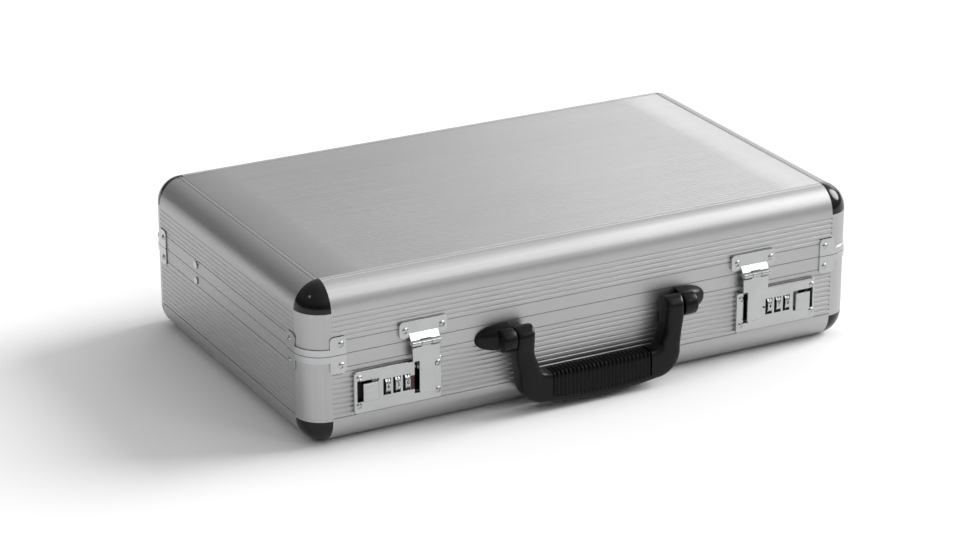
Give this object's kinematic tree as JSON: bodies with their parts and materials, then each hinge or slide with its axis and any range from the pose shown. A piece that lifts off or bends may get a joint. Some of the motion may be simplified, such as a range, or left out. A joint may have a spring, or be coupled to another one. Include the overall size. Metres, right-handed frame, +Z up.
{
  "type": "attache case",
  "caption": "Hard attache case of ribbed aluminium with rolled edges, black corner caps, combination locks and a drop handle.",
  "frame": {"origin": "centre of the underside, on the surface that the closed case lies on", "axes": "+X along the front from the left lock to the right lock, -Y out of the front wall with the handle, +Z up through the lid"},
  "size_m": [0.4638, 0.3038, 0.1224],
  "materials": {
    "panel_aluminium": "satin anodised, fine ribs",
    "profile_aluminium": "satin anodised",
    "cap_gloss_black": "polished moulded plastic",
    "handle_black_plastic": "fine-grained moulded plastic",
    "lock_case_black": "black paint",
    "chrome": "bright nickel and chrome plating",
    "dial_metal": "plated, with filled numerals",
    "steel": "plated sheet steel",
    "lining_fabric": "short-pile lining"
  },
  "bodies": {
    "base": {"base_bottom_panel": "panel_aluminium", "base_front_profile": "profile_aluminium", "base_back_profile": "profile_aluminium", "base_left_profile": "profile_aluminium", "base_right_profile": "profile_aluminium", "base_corner_posts": "profile_aluminium", "base_cap_front_left": "cap_gloss_black", "base_cap_front_right": "cap_gloss_black", "base_cap_back_left": "cap_gloss_black", "base_cap_back_right": "cap_gloss_black", "base_corner_brackets": "chrome", "base_lining": "lining_fabric", "base_rivets": "chrome", "lock_plate_left": "chrome", "lock_plate_right": "chrome", "lock_case_left": "lock_case_black", "lock_case_right": "lock_case_black", "dial_axle_left": "chrome", "dial_axle_right": "chrome", "button_spring_left": "chrome", "button_spring_right": "chrome", "handle_mount_left": "handle_black_plastic", "handle_mount_right": "handle_black_plastic", "handle_pins": "steel", "hinge_leaf_base": "steel", "hinge_pin": "steel"},
    "lid": {"lid_top_panel": "panel_aluminium", "lid_front_profile": "profile_aluminium", "lid_back_profile": "profile_aluminium", "lid_left_profile": "profile_aluminium", "lid_right_profile": "profile_aluminium", "lid_corner_posts": "profile_aluminium", "lid_cap_front_left": "cap_gloss_black", "lid_cap_front_right": "cap_gloss_black", "lid_cap_back_left": "cap_gloss_black", "lid_cap_back_right": "cap_gloss_black", "lid_corner_brackets": "chrome", "lid_lining": "lining_fabric", "lid_rivets": "chrome", "keeper_left": "chrome", "keeper_right": "chrome", "hasp_pin_left": "chrome", "hasp_pin_right": "chrome", "hinge_leaf_lid": "steel"},
    "handle": {"handle": "handle_black_plastic"},
    "hasp_left": {"hasp_left": "chrome"},
    "slide_left": {"slide_button_left": "chrome"},
    "dial_left_1": {"dial_left_1": "dial_metal"},
    "dial_left_2": {"dial_left_2": "dial_metal"},
    "dial_left_3": {"dial_left_3": "dial_metal"},
    "stay_lower_left": {"stay_lower_left": "steel"},
    "stay_upper_left": {"stay_upper_left": "steel"},
    "hasp_right": {"hasp_right": "chrome"},
    "slide_right": {"slide_button_right": "chrome"},
    "dial_right_1": {"dial_right_1": "dial_metal"},
    "dial_right_2": {"dial_right_2": "dial_metal"},
    "dial_right_3": {"dial_right_3": "dial_metal"},
    "stay_lower_right": {"stay_lower_right": "steel"},
    "stay_upper_right": {"stay_upper_right": "steel"}
  },
  "joints": [
    {"name": "lid_hinge", "type": "hinge", "parent": "base", "child": "lid", "pos_m": [0, 0.1425, 0.0704], "axis": [-1, 0, 0], "range_deg": [0, 95]},
    {"name": "handle_swing", "type": "hinge", "parent": "base", "child": "handle", "pos_m": [0, -0.15, 0.06], "axis": [-1, 0, 0], "range_deg": [0, 170]},
    {"name": "hasp_left_flip", "type": "hinge", "parent": "lid", "child": "hasp_left", "pos_m": [-0.139, -0.1462, 0.0698], "axis": [-1, 0, 0], "range_deg": [0, 110]},
    {"name": "slide_left_push", "type": "slide", "parent": "base", "child": "slide_left", "axis": [-1, 0, 0], "range_m": [0, 0.0035], "stiffness_N_per_m": 300, "springref_m": -0.002},
    {"name": "dial_left_1_turn", "type": "hinge", "parent": "base", "child": "dial_left_1", "pos_m": [-0.1531, -0.1354, 0.04], "axis": [1, 0, 0], "continuous": true},
    {"name": "dial_left_2_turn", "type": "hinge", "parent": "base", "child": "dial_left_2", "pos_m": [-0.1609, -0.1354, 0.04], "axis": [1, 0, 0], "continuous": true},
    {"name": "dial_left_3_turn", "type": "hinge", "parent": "base", "child": "dial_left_3", "pos_m": [-0.1687, -0.1354, 0.04], "axis": [1, 0, 0], "continuous": true},
    {"name": "stay_lower_left_turn", "type": "hinge", "parent": "base", "child": "stay_lower_left", "pos_m": [-0.2246, 0.053, 0.0641], "axis": [-1, 0, 0], "range_deg": [0, 95]},
    {"name": "stay_upper_left_turn", "type": "hinge", "parent": "lid", "child": "stay_upper_left", "pos_m": [-0.2229, 0.053, 0.0767], "axis": [-1, 0, 0], "range_deg": [-95, 0]},
    {"name": "hasp_right_flip", "type": "hinge", "parent": "lid", "child": "hasp_right", "pos_m": [0.139, -0.1462, 0.0698], "axis": [-1, 0, 0], "range_deg": [0, 110]},
    {"name": "slide_right_push", "type": "slide", "parent": "base", "child": "slide_right", "axis": [1, 0, 0], "range_m": [0, 0.0035], "stiffness_N_per_m": 300, "springref_m": -0.002},
    {"name": "dial_right_1_turn", "type": "hinge", "parent": "base", "child": "dial_right_1", "pos_m": [0.1531, -0.1354, 0.04], "axis": [1, 0, 0], "continuous": true},
    {"name": "dial_right_2_turn", "type": "hinge", "parent": "base", "child": "dial_right_2", "pos_m": [0.1609, -0.1354, 0.04], "axis": [1, 0, 0], "continuous": true},
    {"name": "dial_right_3_turn", "type": "hinge", "parent": "base", "child": "dial_right_3", "pos_m": [0.1687, -0.1354, 0.04], "axis": [1, 0, 0], "continuous": true},
    {"name": "stay_lower_right_turn", "type": "hinge", "parent": "base", "child": "stay_lower_right", "pos_m": [0.2246, 0.053, 0.0641], "axis": [-1, 0, 0], "range_deg": [0, 95]},
    {"name": "stay_upper_right_turn", "type": "hinge", "parent": "lid", "child": "stay_upper_right", "pos_m": [0.2229, 0.053, 0.0767], "axis": [-1, 0, 0], "range_deg": [-95, 0]}
  ],
  "couplings": [
    {"joint": "stay_lower_left_turn", "follows": "lid_hinge", "ratio": 1},
    {"joint": "stay_upper_left_turn", "follows": "lid_hinge", "ratio": -1},
    {"joint": "stay_lower_right_turn", "follows": "lid_hinge", "ratio": 1},
    {"joint": "stay_upper_right_turn", "follows": "lid_hinge", "ratio": -1}
  ]
}
